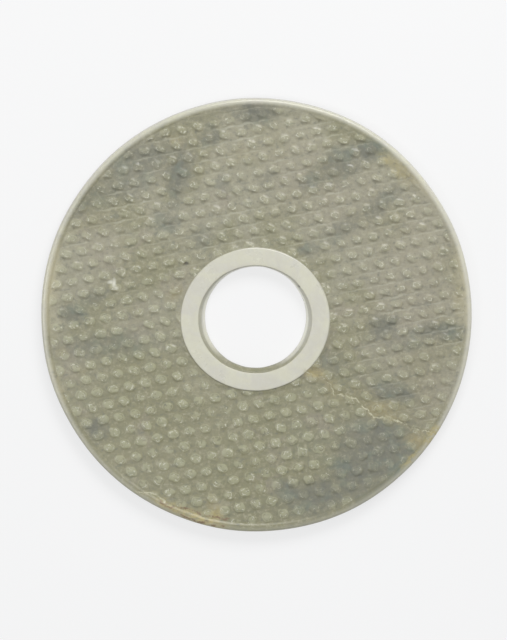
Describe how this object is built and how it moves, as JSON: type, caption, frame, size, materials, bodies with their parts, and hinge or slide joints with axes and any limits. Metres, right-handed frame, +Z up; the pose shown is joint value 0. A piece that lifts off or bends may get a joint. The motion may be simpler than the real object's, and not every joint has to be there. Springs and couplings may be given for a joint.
{
  "type": "jade bi disc",
  "caption": "Flat round stone disc with a round central hole, a raised rim and collar, and a sunken field carved with rows of small domed grains.",
  "frame": {"origin": "middle of the underside, the plane that the back rim and back collar rest on, at the centre of the disc's outline", "axes": "+Z up out of the carved front face, through the thickness; +Y towards the top of the disc as shown; +X to its right"},
  "size_m": [0.165, 0.167, 0.006],
  "materials": {
    "jade": "polished grey-green nephrite with darker clouds and brown staining"
  },
  "bodies": {
    "root": {"bi_disc": "jade"}
  },
  "joints": []
}
